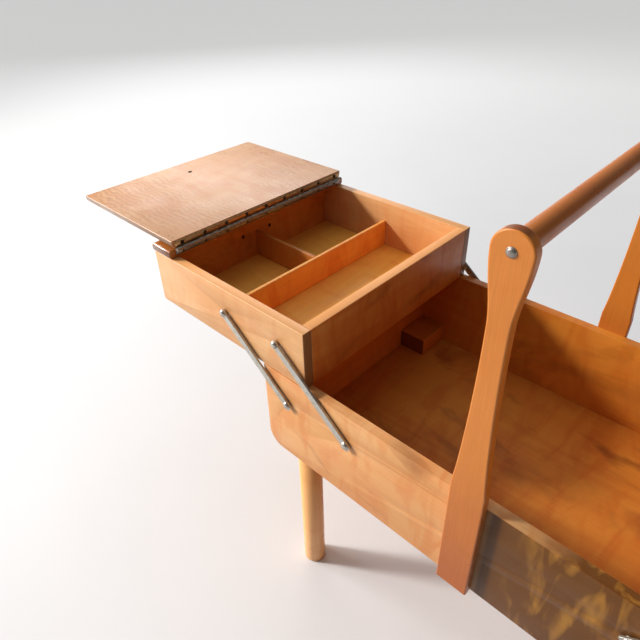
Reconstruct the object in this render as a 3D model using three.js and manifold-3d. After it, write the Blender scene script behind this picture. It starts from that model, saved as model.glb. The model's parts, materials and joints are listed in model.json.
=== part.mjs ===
// Cantilever sewing basket: a wooden box on four legs, two trays that swing out on steel arms,
// hinged lids on the trays, and a handle rod between two uprights.
// Millimetres. X is the long axis, -Y the front, +Z up. The origin is on the ground, at the
// middle of the feet. The basket is modelled open: both trays swung out, both lids folded back.

import * as THREE from 'three';
import { mergeVertices } from 'three/addons/utils/BufferGeometryUtils.js';
import Module from 'manifold-3d';

const wasm = await Module();
wasm.setup();

// ---------------------------------------------------------------- driving dimensions
const GLUE_GAP = 0.1; // between pieces glued or screwed face to face
const CUT_MARGIN = 1; // how far a cutter runs past the surface that it cuts
const WELD = 1e-4; // vertices closer than this are one

const BOX = { length: 421, width: 250, height: 97, wall: 9, floor: 5.5, cornerRadius: 16 };
const LEG = { length: 202, radius: 12, chamfer: 1.5, centreX: 186.5, centreY: 96.5 };
const BLOCK = { length: 31.5, width: 42, height: 21 };

const TRAY = { length: 210.3, width: 249, height: 57.6, sideWall: 9.5, endWall: 10, floor: 4.8 };
const TRAY_LIFT = 0.4; // running clearance above the rim of the box
const TRAY_CORNER = 3; // radius on the outer lower edge
const MEETING_GAP = 0.6; // between the two closed trays
const DIVIDER = { thickness: 4, drop: 22 }; // drop is measured from the top of the tray walls

const ARM = { run: 79, rise: 63.5, width: 7.4, thickness: 2, standOff: 1.4 };
const PIVOT = { outerX: 180.5, innerX: 111.5, z: 269 }; // the arms' lower ends, on the box
const RIVET = { shank: 1.5, collar: 3, head: 3.7, headHeight: 1.9, depth: 6.8, slack: 0.2 };
const BORE_CLEARANCE = 0.3; // radial, so that faceted shanks turn freely
const BORE_DEPTH = 7.2;

const BATTEN = { width: 30.5, thickness: 9, overhang: 1.2, edgeRadius: 3 };
const LID = { length: 171.3, width: 242.6, thickness: 9, edgeRadius: 6, standOff: 0.3 };
const KNOB = { fromFreeEnd: 32, baseRadius: 7, neckRadius: 5.5, flareRadius: 9.35, headRadius: 11 };
const KNOB_Z = { neck: 5.7, flare: 8.55, headRim: 11.4, crown: 7.6 }; // crown is the dome's height

const HINGE = { offset: 2.2, knuckle: 1.9, bore: 1.1, pin: 0.8, leaf: 1, length: 236 };
const HINGE_LEAF = { near: 2.2, far: 8.2 }; // strip edges, measured from the pin's centre
const KNUCKLES = 9;
const KNUCKLE_GAP = 0.4;

const UPRIGHT = { thickness: 7.5, halfWidth: 13, halfNeck: 7.1, headRadius: 12.2 };
const UPRIGHT_Z = { shoulder: 315, neckLow: 436, neckHigh: 446, head: 493 };
const ROD_RADIUS = 7.25;
const ROD_SCREW = { shank: 1.7, head: 2.8, headHeight: 1.6, depth: 18, holeDepth: 19 };

const SEGMENTS = { leg: 24, rod: 20, small: 10, knuckle: 8, knob: 18, arc: 5 };

// ---------------------------------------------------------------- levels and places
const BOX_BOTTOM = LEG.length;
const BOX_RIM = BOX_BOTTOM + BOX.height;
const BOX_FLOOR_TOP = BOX_BOTTOM + BOX.floor;
const TRAY_BOTTOM = BOX_RIM + TRAY_LIFT;
const TRAY_TOP = TRAY_BOTTOM + TRAY.height;
const TRAY_INNER_X = 2 * ARM.run + MEETING_GAP / 2;
const TRAY_OUTER_X = TRAY_INNER_X + TRAY.length;
const DIVIDER_X = (TRAY_INNER_X + TRAY.endWall + TRAY_OUTER_X - TRAY.sideWall) / 2;
const DIVIDER_TOP = TRAY_TOP - DIVIDER.drop;
const BATTEN_BOTTOM = TRAY_TOP + GLUE_GAP;
const BATTEN_TOP = BATTEN_BOTTOM + BATTEN.thickness;
const BATTEN_OUTER_X = TRAY_OUTER_X + BATTEN.overhang;
const BATTEN_INNER_X = BATTEN_OUTER_X - BATTEN.width;
const LID_UNDER = BATTEN_TOP + LID.standOff; // the open lid lies upside down above the batten
const LID_OVER = LID_UNDER + LID.thickness;
const HINGE_X = BATTEN_INNER_X - HINGE.offset;
const HINGE_Z = BATTEN_TOP + LID.standOff / 2;
const ARM_Y = BOX.width / 2 + ARM.standOff; // the arm's inner face

// ---------------------------------------------------------------- materials
function finish(color, roughness, metalness = 0) {
  return new THREE.MeshStandardMaterial({ color, roughness, metalness });
}
const PALE_WOOD = finish(0xd9a566, 0.45);
const HONEY_WOOD = finish(0xc98a45, 0.4);
const PLY = finish(0xc9904f, 0.5);
const DARK_WOOD = finish(0xa86a32, 0.55);
const STEEL = finish(0x8d8a86, 0.38, 1);
const BRONZE = finish(0x7a5b3a, 0.42, 1);

// ---------------------------------------------------------------- geometry helpers
function solidOf(geometry) {
  const bare = geometry.clone();
  bare.deleteAttribute('normal');
  bare.deleteAttribute('uv');
  const merged = mergeVertices(bare, WELD);
  const vertProperties = new Float32Array(merged.attributes.position.array);
  const triVerts = new Uint32Array(merged.index.array);
  return new wasm.Manifold(new wasm.Mesh({ numProp: 3, vertProperties, triVerts }));
}

function geometryOf(solid) {
  const mesh = solid.getMesh();
  const geometry = new THREE.BufferGeometry();
  geometry.setAttribute('position', new THREE.BufferAttribute(mesh.vertProperties, 3));
  geometry.setIndex(new THREE.BufferAttribute(mesh.triVerts, 1));
  return geometry;
}

function blockGeometry([x0, x1], [y0, y1], [z0, z1]) {
  const geometry = new THREE.BoxGeometry(Math.abs(x1 - x0), Math.abs(y1 - y0), Math.abs(z1 - z0));
  return geometry.translate((x0 + x1) / 2, (y0 + y1) / 2, (z0 + z1) / 2);
}

const ALONG_Y = new THREE.Matrix4().makeBasis(
  new THREE.Vector3(1, 0, 0), new THREE.Vector3(0, 0, 1), new THREE.Vector3(0, -1, 0));
const ALONG_X = new THREE.Matrix4().makeBasis(
  new THREE.Vector3(0, 1, 0), new THREE.Vector3(0, 0, 1), new THREE.Vector3(1, 0, 0));

function extrude(shape, depth) {
  const options = { depth, bevelEnabled: false, curveSegments: SEGMENTS.arc, steps: 1 };
  return new THREE.ExtrudeGeometry(shape, options);
}

// A shape drawn in X and Z, given its thickness along Y.
function extrudeAlongY(shape, y0, y1) {
  return extrude(shape, Math.abs(y1 - y0)).applyMatrix4(ALONG_Y).translate(0, Math.max(y0, y1), 0);
}

// A shape drawn in Y and Z, given its length along X.
function extrudeAlongX(shape, x0, x1) {
  return extrude(shape, Math.abs(x1 - x0)).applyMatrix4(ALONG_X).translate(Math.min(x0, x1), 0, 0);
}

// A rectangle whose four corners, anticlockwise from the lower left, have their own radii.
function roundedRectangle(x0, x1, y0, y1, [lowerLeft, lowerRight, upperRight, upperLeft]) {
  const shape = new THREE.Shape();
  const corner = (x, y, radius, start) => {
    if (radius === 0) shape.lineTo(x, y);
    else shape.absarc(x, y, radius, start, start + Math.PI / 2, false);
  };
  shape.moveTo(x0, y0 + lowerLeft);
  corner(x0 + lowerLeft, y0 + lowerLeft, lowerLeft, Math.PI);
  corner(x1 - lowerRight, y0 + lowerRight, lowerRight, -Math.PI / 2);
  corner(x1 - upperRight, y1 - upperRight, upperRight, 0);
  corner(x0 + upperLeft, y1 - upperLeft, upperLeft, Math.PI / 2);
  shape.closePath();
  return shape;
}

// A turned piece on the Z axis, from [radius, height] pairs that start and end on the axis.
function turned(profile, segments) {
  const points = profile.map(([radius, height]) => new THREE.Vector2(radius, height));
  const geometry = new THREE.LatheGeometry(points, segments);
  return geometryOf(solidOf(geometry)).rotateX(Math.PI / 2);
}

function rod(radius, length, segments) {
  return turned([[0, 0], [radius, 0], [radius, length], [0, length]], segments);
}

// Points of a dome from its rim to its crown.
function dome(radius, height, base, steps = 2) {
  const points = [];
  for (let i = 0; i <= steps; i += 1) {
    const angle = (i / steps) * Math.PI / 2;
    const r = i === steps ? 0 : radius * Math.cos(angle);
    points.push([r, base + height * Math.sin(angle)]);
  }
  return points;
}

// Turns a piece made on +Z to point out of the front (face -1) or the back (face +1).
function pointOut(geometry, face, x, y, z) {
  return geometry.rotateX(face > 0 ? -Math.PI / 2 : Math.PI / 2).translate(x, y, z);
}

const basket = new THREE.Group();

function add(name, geometry, material) {
  const mesh = new THREE.Mesh(geometry, material);
  mesh.name = name;
  basket.add(mesh);
}

const SIDES = [['left', -1], ['right', 1]]; // along X
const FACES = [['front', -1], ['back', 1]]; // along Y

// ---------------------------------------------------------------- main box
function boxOutline(inset) {
  const x = BOX.length / 2 - inset;
  const radius = BOX.cornerRadius - inset;
  return roundedRectangle(-x, x, BOX_BOTTOM + inset, BOX_RIM, [radius, radius, 0, 0]);
}

// A blind hole in a board that faces the front or the back.
function boreCutter(face, x, faceY, z) {
  const cutter = rod(RIVET.shank + BORE_CLEARANCE, BORE_DEPTH + CUT_MARGIN, SEGMENTS.small);
  return solidOf(pointOut(cutter, face, x, face * (faceY - BORE_DEPTH), z));
}

function sidePanel(face) {
  const outer = face * BOX.width / 2;
  const inner = face * (BOX.width / 2 - BOX.wall);
  let panel = solidOf(extrudeAlongY(boxOutline(0), outer, inner));
  for (const [, side] of SIDES) {
    for (const x of [PIVOT.outerX, PIVOT.innerX]) {
      panel = panel.subtract(boreCutter(face, side * x, BOX.width / 2, PIVOT.z));
    }
  }
  return geometryOf(panel);
}

// The space between the side panels, with the box's rounded lower corners.
function innerSpan() {
  const y = BOX.width / 2 - BOX.wall - GLUE_GAP;
  return solidOf(extrudeAlongY(boxOutline(0), -y, y));
}

function mainEnd(side) {
  const outer = side * (BOX.length / 2 + CUT_MARGIN);
  const inner = side * (BOX.length / 2 - BOX.wall);
  const slab = blockGeometry([inner, outer], [-BOX.width, BOX.width], [BOX_BOTTOM, BOX_RIM + CUT_MARGIN]);
  return geometryOf(innerSpan().intersect(solidOf(slab)));
}

function mainBottom() {
  const x = BOX.length / 2 - BOX.wall - GLUE_GAP;
  const z = [BOX_BOTTOM - CUT_MARGIN, BOX_FLOOR_TOP];
  return geometryOf(innerSpan().intersect(solidOf(blockGeometry([-x, x], [-BOX.width, BOX.width], z))));
}

function cornerBlock(side, face) {
  const x = BOX.length / 2 - BOX.wall - GLUE_GAP;
  const y = BOX.width / 2 - BOX.wall - GLUE_GAP;
  const z = BOX_FLOOR_TOP + GLUE_GAP;
  return blockGeometry([side * (x - BLOCK.length), side * x], [face * (y - BLOCK.width), face * y],
    [z, z + BLOCK.height]);
}

function leg(side, face) {
  const { radius, chamfer } = LEG;
  const top = LEG.length - GLUE_GAP;
  const profile = [[0, 0], [radius - chamfer, 0], [radius, chamfer], [radius, top], [0, top]];
  return turned(profile, SEGMENTS.leg).translate(side * LEG.centreX, face * LEG.centreY, 0);
}

// ---------------------------------------------------------------- handle
function uprightOutline() {
  const { halfWidth, halfNeck, headRadius } = UPRIGHT;
  const { shoulder, neckLow, neckHigh, head } = UPRIGHT_Z;
  const bow = (neckLow - shoulder) / 3;
  const flare = (head - neckHigh) / 3;
  const shape = new THREE.Shape();
  shape.moveTo(-halfWidth, BOX_BOTTOM);
  shape.lineTo(halfWidth, BOX_BOTTOM);
  shape.lineTo(halfWidth, shoulder);
  shape.bezierCurveTo((halfWidth + halfNeck) / 2, shoulder + bow / 2, halfNeck, neckLow - bow,
    halfNeck, neckLow);
  shape.lineTo(halfNeck, neckHigh);
  shape.bezierCurveTo(halfNeck, neckHigh + flare, headRadius, head - flare, headRadius, head);
  shape.absarc(0, head, headRadius, 0, Math.PI, false);
  shape.bezierCurveTo(-headRadius, head - flare, -halfNeck, neckHigh + flare, -halfNeck, neckHigh);
  shape.lineTo(-halfNeck, neckLow);
  shape.bezierCurveTo(-halfNeck, neckLow - bow, -(halfWidth + halfNeck) / 2, shoulder + bow / 2,
    -halfWidth, shoulder);
  shape.closePath();
  return shape;
}

function upright(face) {
  const inner = BOX.width / 2 + GLUE_GAP;
  const board = extrudeAlongY(uprightOutline(), face * inner, face * (inner + UPRIGHT.thickness));
  const drill = rod(ROD_SCREW.shank + BORE_CLEARANCE, UPRIGHT.thickness * 2, SEGMENTS.small);
  const hole = pointOut(drill, face, 0, face * (inner - UPRIGHT.thickness / 2), UPRIGHT_Z.head);
  return geometryOf(solidOf(board).subtract(solidOf(hole)));
}

function handleRod() {
  const half = BOX.width / 2;
  const bar = rod(ROD_RADIUS, half * 2, SEGMENTS.rod).rotateX(-Math.PI / 2);
  let solid = solidOf(bar.translate(0, -half, UPRIGHT_Z.head));
  for (const [, face] of FACES) {
    const length = ROD_SCREW.holeDepth + CUT_MARGIN;
    const drill = rod(ROD_SCREW.shank + BORE_CLEARANCE, length, SEGMENTS.small);
    const y = face * (half - ROD_SCREW.holeDepth);
    solid = solid.subtract(solidOf(pointOut(drill, face, 0, y, UPRIGHT_Z.head)));
  }
  return geometryOf(solid);
}

function rodScrew(face) {
  const { shank, head, headHeight, depth } = ROD_SCREW;
  const seat = depth + UPRIGHT.thickness + 2 * GLUE_GAP;
  const profile = [[0, 0], [shank, 0], [shank, seat], ...dome(head, headHeight, seat)];
  const y = BOX.width / 2 + 2 * GLUE_GAP + UPRIGHT.thickness - seat;
  return pointOut(turned(profile, SEGMENTS.small), face, 0, face * y, UPRIGHT_Z.head);
}

// ---------------------------------------------------------------- trays
function trayWall(side, face) {
  const y = TRAY.width / 2;
  const ends = [side * TRAY_INNER_X, side * TRAY_OUTER_X];
  const [x0, x1] = [Math.min(...ends), Math.max(...ends)];
  const corners = side < 0 ? [TRAY_CORNER, 0, 0, 0] : [0, TRAY_CORNER, 0, 0];
  const shape = roundedRectangle(x0, x1, TRAY_BOTTOM, TRAY_TOP, corners);
  let wall = solidOf(extrudeAlongY(shape, face * y, face * (y - TRAY.sideWall)));
  for (const x of [PIVOT.outerX, PIVOT.innerX]) {
    const cutter = boreCutter(face, side * (x + ARM.run), y, PIVOT.z + ARM.rise);
    wall = wall.subtract(cutter);
  }
  return geometryOf(wall);
}

const TRAY_INSIDE_Y = TRAY.width / 2 - TRAY.sideWall - GLUE_GAP;

function trayOuterEnd(side) {
  const ends = [side * TRAY_OUTER_X, side * (TRAY_OUTER_X - TRAY.sideWall)];
  const corners = side < 0 ? [TRAY_CORNER, 0, 0, 0] : [0, TRAY_CORNER, 0, 0];
  const shape = roundedRectangle(Math.min(...ends), Math.max(...ends), TRAY_BOTTOM, TRAY_TOP, corners);
  return extrudeAlongY(shape, -TRAY_INSIDE_Y, TRAY_INSIDE_Y);
}

function trayBoard(side, xInner, xOuter, [y0, y1], [z0, z1]) {
  return blockGeometry([side * xInner, side * xOuter], [y0, y1], [z0, z1]);
}

function addTrayBoards(label, side) {
  const full = [-TRAY_INSIDE_Y, TRAY_INSIDE_Y];
  const inside = TRAY_INNER_X + TRAY.endWall;
  const outside = TRAY_OUTER_X - TRAY.sideWall;
  const floorTop = TRAY_BOTTOM + TRAY.floor;
  const half = DIVIDER.thickness / 2;
  add(`${label}_tray_inner_end`,
    trayBoard(side, TRAY_INNER_X, inside, full, [TRAY_BOTTOM, TRAY_TOP]), PLY);
  add(`${label}_tray_outer_end`, trayOuterEnd(side), PLY);
  add(`${label}_tray_bottom`,
    trayBoard(side, inside + GLUE_GAP, outside - GLUE_GAP, full, [TRAY_BOTTOM, floorTop]), PALE_WOOD);
  add(`${label}_tray_long_divider`,
    trayBoard(side, DIVIDER_X - half, DIVIDER_X + half, full, [floorTop + GLUE_GAP, DIVIDER_TOP]),
    HONEY_WOOD);
  add(`${label}_tray_short_divider`,
    trayBoard(side, DIVIDER_X + half + GLUE_GAP, outside - GLUE_GAP, [-half, half],
      [floorTop + GLUE_GAP, DIVIDER_TOP]), HONEY_WOOD);
}

function addTrayWalls(label, side) {
  for (const [place, face] of FACES) {
    add(`${label}_tray_${place}_wall`, trayWall(side, face), PLY);
  }
}

// A board lying flat, its X profile and its Y profile rounded separately.
function flatBoard([x0, x1], xCorners, halfWidth, yCorners, [z0, z1]) {
  const profile = roundedRectangle(x0, x1, z0, z1, xCorners);
  const across = roundedRectangle(-halfWidth, halfWidth, z0, z1, yCorners);
  const lengthwise = solidOf(extrudeAlongY(profile, -halfWidth, halfWidth));
  return geometryOf(lengthwise.intersect(solidOf(extrudeAlongX(across, x0, x1))));
}

function batten(side) {
  const r = BATTEN.edgeRadius;
  const ends = [side * BATTEN_INNER_X, side * BATTEN_OUTER_X].sort((a, b) => a - b);
  const corners = side < 0 ? [r, 0, 0, r] : [0, r, r, 0];
  const halfWidth = TRAY.width / 2 + BATTEN.overhang;
  return flatBoard(ends, corners, halfWidth, [r, r, r, r], [BATTEN_BOTTOM, BATTEN_TOP]);
}

// The open lid: its rounded show face is underneath, and its flat inner face is on top.
function lid(side) {
  const r = LID.edgeRadius;
  const freeEnd = BATTEN_INNER_X + LID.length;
  const ends = [side * BATTEN_INNER_X, side * freeEnd].sort((a, b) => a - b);
  const corners = side < 0 ? [r, 0, 0, 0] : [0, r, 0, 0];
  return flatBoard(ends, corners, LID.width / 2, [r, r, 0, 0], [LID_UNDER, LID_OVER]);
}

// The knob hangs below the open lid, on the lid's show face.
function knob(side) {
  const { baseRadius, neckRadius, flareRadius, headRadius } = KNOB;
  const { neck, flare, headRim, crown } = KNOB_Z;
  const profile = [[0, 0], [baseRadius, 0], [neckRadius, neck], [flareRadius, flare],
    ...dome(headRadius, crown, headRim, 4)];
  const x = side * (BATTEN_INNER_X + LID.length - KNOB.fromFreeEnd);
  return turned(profile, SEGMENTS.knob).rotateX(Math.PI).translate(x, 0, LID_UNDER - GLUE_GAP);
}

// ---------------------------------------------------------------- piano hinges
// One leaf: a strip with every second knuckle. Its strip goes down (-1) the batten's inner face
// or up (+1) the edge of the open lid.
function hingeLeaf(side, direction) {
  const pitch = HINGE.length / KNUCKLES;
  const half = HINGE.length / 2;
  const back = HINGE_X + HINGE.offset - GLUE_GAP;
  const strip = [side * back, side * (back - HINGE.leaf)];
  const barrel = rod(HINGE.knuckle, HINGE.length, SEGMENTS.knuckle).rotateX(-Math.PI / 2);
  const boreLength = HINGE.length + 2 * CUT_MARGIN;
  const bore = rod(HINGE.bore, boreLength, SEGMENTS.knuckle).rotateX(-Math.PI / 2);
  const edges = [HINGE_Z, HINGE_Z + direction * HINGE_LEAF.far];
  let leaf = solidOf(blockGeometry(strip, [-half, half], edges));
  leaf = leaf.add(solidOf(barrel.translate(side * HINGE_X, -half, HINGE_Z)));
  leaf = leaf.subtract(solidOf(bore.translate(side * HINGE_X, -half - CUT_MARGIN, HINGE_Z)));
  const notchX = [side * (HINGE_X - HINGE_LEAF.near), side * (back + CUT_MARGIN)];
  const notchZ = [-direction * HINGE_LEAF.near, direction * HINGE_LEAF.near].map((z) => HINGE_Z + z);
  for (let i = direction < 0 ? 1 : 0; i < KNUCKLES; i += 2) {
    const atStart = i === 0;
    const atEnd = i === KNUCKLES - 1;
    const y0 = -half + i * pitch - (atStart ? CUT_MARGIN : KNUCKLE_GAP / 2);
    const y1 = -half + (i + 1) * pitch + (atEnd ? CUT_MARGIN : KNUCKLE_GAP / 2);
    leaf = leaf.subtract(solidOf(blockGeometry(notchX, [y0, y1], notchZ)));
  }
  return geometryOf(leaf);
}

function hingePin(side) {
  const pin = rod(HINGE.pin, HINGE.length, SEGMENTS.knuckle).rotateX(-Math.PI / 2);
  return pin.translate(side * HINGE_X, -HINGE.length / 2, HINGE_Z);
}

// ---------------------------------------------------------------- swing arms and their pivots
function pivotRivet(side, face, x) {
  const { shank, collar, head, headHeight, depth, slack } = RIVET;
  const collarBase = depth + GLUE_GAP;
  const collarTop = depth + ARM.standOff - slack;
  const headBase = depth + ARM.standOff + ARM.thickness + slack;
  const profile = [[0, 0], [shank, 0], [shank, collarBase], [collar, collarBase],
    [collar, collarTop], [shank, collarTop], [shank, headBase], ...dome(head, headHeight, headBase)];
  const y = BOX.width / 2 - depth;
  return pointOut(turned(profile, SEGMENTS.small), face, side * x, face * y, PIVOT.z);
}

// The stud that is fast in the arm's upper end and turns in the tray wall.
function upperStud(side, face, x) {
  const { shank, collar, head, headHeight, depth } = RIVET;
  const wallGap = (BOX.width - TRAY.width) / 2;
  const collarBase = depth + GLUE_GAP + RIVET.slack;
  const headBase = depth + wallGap + ARM.standOff + ARM.thickness;
  const profile = [[0, 0], [shank, 0], [shank, collarBase], [collar, collarBase],
    [collar, headBase], ...dome(head, headHeight, headBase)];
  const y = TRAY.width / 2 - depth;
  const z = PIVOT.z + ARM.rise;
  return pointOut(turned(profile, SEGMENTS.small), face, side * x, face * y, z);
}

function armOutline(side, x) {
  const radius = ARM.width / 2;
  const angle = Math.atan2(ARM.rise, side * ARM.run);
  const lower = new THREE.Vector2(side * x, PIVOT.z);
  const upper = new THREE.Vector2(side * (x + ARM.run), PIVOT.z + ARM.rise);
  const shape = new THREE.Shape();
  shape.absarc(upper.x, upper.y, radius, angle - Math.PI / 2, angle + Math.PI / 2, false);
  shape.absarc(lower.x, lower.y, radius, angle + Math.PI / 2, angle + 1.5 * Math.PI, false);
  shape.closePath();
  return shape;
}

function arm(side, face, x) {
  const strip = extrudeAlongY(armOutline(side, x), face * ARM_Y, face * (ARM_Y + ARM.thickness));
  const drill = rod(RIVET.shank + BORE_CLEARANCE, ARM.thickness * 3, SEGMENTS.small);
  const hole = pointOut(drill, face, side * x, face * (ARM_Y - ARM.thickness), PIVOT.z);
  const stud = solidOf(upperStud(side, face, x + ARM.run));
  return geometryOf(solidOf(strip).subtract(solidOf(hole)).add(stud));
}

// ---------------------------------------------------------------- assembly
function addBox() {
  for (const [place, face] of FACES) add(`main_${place}_panel`, sidePanel(face), HONEY_WOOD);
  for (const [label, side] of SIDES) add(`main_${label}_end`, mainEnd(side), HONEY_WOOD);
  add('main_bottom_panel', mainBottom(), DARK_WOOD);
  for (const [label, side] of SIDES) {
    for (const [place, face] of FACES) {
      add(`corner_block_${label}_${place}`, cornerBlock(side, face), PALE_WOOD);
      add(`leg_${label}_${place}`, leg(side, face), HONEY_WOOD);
    }
  }
}

function addHandle() {
  add('handle_rod', handleRod(), HONEY_WOOD);
  for (const [place, face] of FACES) {
    add(`handle_upright_${place}`, upright(face), HONEY_WOOD);
    add(`rod_screw_${place}`, rodScrew(face), STEEL);
  }
}

function addTray(label, side) {
  addTrayWalls(label, side);
  addTrayBoards(label, side);
  add(`${label}_hinge_batten`, batten(side), HONEY_WOOD);
  add(`${label}_lid`, lid(side), PALE_WOOD);
  add(`${label}_lid_knob`, knob(side), HONEY_WOOD);
  add(`${label}_hinge_leaf_batten`, hingeLeaf(side, -1), BRONZE);
  add(`${label}_hinge_leaf_lid`, hingeLeaf(side, 1), BRONZE);
  add(`${label}_hinge_pin`, hingePin(side), STEEL);
}

function addArms(label, side) {
  for (const [place, face] of FACES) {
    for (const [row, x] of [['outer', PIVOT.outerX], ['inner', PIVOT.innerX]]) {
      add(`${label}_${place}_${row}_arm`, arm(side, face, x), STEEL);
      add(`${label}_${place}_${row}_rivet`, pivotRivet(side, face, x), STEEL);
    }
  }
}

addBox();
addHandle();
for (const [label, side] of SIDES) {
  addTray(label, side);
  addArms(label, side);
}

export default basket;
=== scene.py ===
"""A wooden cantilever sewing box, open, on a pale floor.

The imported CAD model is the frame. The flat boards are its own nodes with softened edges. The
turned, shaped and metal pieces are made again here, finer, in the same places. Metres.
"""
import json
import math
from collections import namedtuple

import bmesh
import bpy
from mathutils import Matrix, Quaternion, Vector


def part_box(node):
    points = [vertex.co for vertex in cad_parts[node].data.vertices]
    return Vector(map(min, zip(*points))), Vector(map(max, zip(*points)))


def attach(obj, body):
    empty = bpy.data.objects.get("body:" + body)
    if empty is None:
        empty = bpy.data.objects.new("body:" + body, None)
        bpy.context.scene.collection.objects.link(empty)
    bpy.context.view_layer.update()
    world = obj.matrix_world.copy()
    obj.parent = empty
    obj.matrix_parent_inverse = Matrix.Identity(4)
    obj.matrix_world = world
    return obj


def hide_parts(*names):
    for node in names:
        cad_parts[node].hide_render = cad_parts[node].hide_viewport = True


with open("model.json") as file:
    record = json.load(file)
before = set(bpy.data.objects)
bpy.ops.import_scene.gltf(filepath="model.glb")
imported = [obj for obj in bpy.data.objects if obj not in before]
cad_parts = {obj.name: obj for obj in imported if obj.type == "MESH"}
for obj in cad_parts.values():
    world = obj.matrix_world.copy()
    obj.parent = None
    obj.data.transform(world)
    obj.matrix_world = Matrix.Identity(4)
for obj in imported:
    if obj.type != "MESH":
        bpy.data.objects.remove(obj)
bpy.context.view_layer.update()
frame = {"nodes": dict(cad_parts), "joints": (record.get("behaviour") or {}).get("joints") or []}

MM = 0.001
AXES = "XYZ"
SIDES = (("left", -1), ("right", 1))
FACES = (("front", -1), ("back", 1))
ROWS = ("outer", "inner")
NODES = frame["nodes"]
JOINTS = {joint["name"]: joint for joint in frame["joints"]}


# ------------------------------------------------------------------------------ node materials
class Shade:
    """A material and short calls for the nodes that it is built from."""

    def __init__(self, name):
        self.material = bpy.data.materials.new(name)
        self.material.use_nodes = True
        tree = self.material.node_tree
        tree.nodes.clear()
        self.nodes = tree.nodes
        self.links = tree.links
        self.shader = self.nodes.new("ShaderNodeBsdfPrincipled")
        output = self.nodes.new("ShaderNodeOutputMaterial")
        self.links.new(self.shader.outputs["BSDF"], output.inputs["Surface"])
        self.coords = self.nodes.new("ShaderNodeTexCoord")

    def feed(self, socket, value):
        if isinstance(value, bpy.types.NodeSocket):
            self.links.new(value, socket)
        else:
            socket.default_value = value

    def set(self, name, value):
        self.feed(self.shader.inputs[name], value)

    def math(self, operation, a, b=0.0, clamp=False):
        node = self.nodes.new("ShaderNodeMath")
        node.operation = operation
        node.use_clamp = clamp
        self.feed(node.inputs[0], a)
        self.feed(node.inputs[1], b)
        return node.outputs[0]

    def times(self, a, b):
        return self.math("MULTIPLY", a, b)

    def remap(self, value, low, high, to_low=0.0, to_high=1.0):
        """A clamped ramp from to_low at low to to_high at high. low may be the larger one."""
        node = self.nodes.new("ShaderNodeMapRange")
        for socket, number in zip(node.inputs, (value, low, high, to_low, to_high)):
            self.feed(socket, number)
        return node.outputs[0]

    def mix(self, factor, a, b, blend="MIX"):
        node = self.nodes.new("ShaderNodeMix")
        node.data_type = "RGBA"
        node.blend_type = blend
        self.feed(node.inputs[0], factor)
        for socket, colour in ((node.inputs[6], a), (node.inputs[7], b)):
            self.feed(socket, colour if isinstance(colour, bpy.types.NodeSocket) else (*colour, 1.0))
        return node.outputs[2]

    def scaled(self, vector, factor):
        node = self.nodes.new("ShaderNodeVectorMath")
        node.operation = "SCALE"
        self.links.new(vector, node.inputs[0])
        self.links.new(factor, node.inputs["Scale"])
        return node.outputs[0]

    def component(self, vector, axis):
        node = self.nodes.new("ShaderNodeSeparateXYZ")
        self.links.new(vector, node.inputs[0])
        return node.outputs[AXES.index(axis)]

    def position(self, axis):
        return self.component(self.coords.outputs["Object"], axis)

    def normal(self, axis):
        return self.component(self.coords.outputs["Normal"], axis)

    def stretched(self, offset, scale=(1.0, 1.0, 1.0)):
        """Object coordinates, scaled by axis and shifted so that no two boards match."""
        node = self.nodes.new("ShaderNodeMapping")
        self.links.new(self.coords.outputs["Object"], node.inputs["Vector"])
        node.inputs["Scale"].default_value = scale
        node.inputs["Location"].default_value = (offset, offset * 1.7, offset * 0.6)
        return node.outputs[0]

    def noise(self, vector, scale, detail=2.0, roughness=0.5, distortion=0.0):
        node = self.nodes.new("ShaderNodeTexNoise")
        self.links.new(vector, node.inputs["Vector"])
        settings = {"Scale": scale, "Detail": detail, "Roughness": roughness, "Distortion": distortion}
        for name, number in settings.items():
            node.inputs[name].default_value = number
        return node.outputs["Fac"]

    def ripples(self, along, offset):
        """Wavy bands across the grain, about 6 mm apart."""
        node = self.nodes.new("ShaderNodeTexWave")
        node.bands_direction = along
        self.links.new(self.stretched(offset), node.inputs["Vector"])
        settings = {"Scale": 50.0, "Distortion": 9.0, "Detail": 2.0, "Detail Scale": 1.1,
                    "Detail Roughness": 0.5}
        for name, number in settings.items():
            node.inputs[name].default_value = number
        return node.outputs["Fac"]

    def edge_mask(self, radius, gain):
        """1 along sharp edges and 0 on flat faces."""
        bevel = self.nodes.new("ShaderNodeBevel")
        bevel.samples = 4
        bevel.inputs["Radius"].default_value = radius
        geometry = self.nodes.new("ShaderNodeNewGeometry")
        dot = self.nodes.new("ShaderNodeVectorMath")
        dot.operation = "DOT_PRODUCT"
        self.links.new(bevel.outputs[0], dot.inputs[0])
        self.links.new(geometry.outputs["Normal"], dot.inputs[1])
        away = self.math("SUBTRACT", 1.0, dot.outputs["Value"])
        return self.math("MULTIPLY", away, gain, clamp=True)

    def bump(self, height, strength, distance):
        node = self.nodes.new("ShaderNodeBump")
        node.inputs["Strength"].default_value = strength
        node.inputs["Distance"].default_value = distance
        self.links.new(height, node.inputs["Height"])
        self.links.new(node.outputs[0], self.shader.inputs["Normal"])


def tinted(colour, factors):
    return tuple(c * k for c, k in zip(colour, factors))


def shaded(colour, factor):
    return tuple(c * factor for c in colour)


def grain_scale(grain, along, across=1.0):
    """A noise scale by axis. The pattern is drawn out along the grain where along is below across."""
    return tuple(along if axis == grain else across for axis in AXES)


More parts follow.
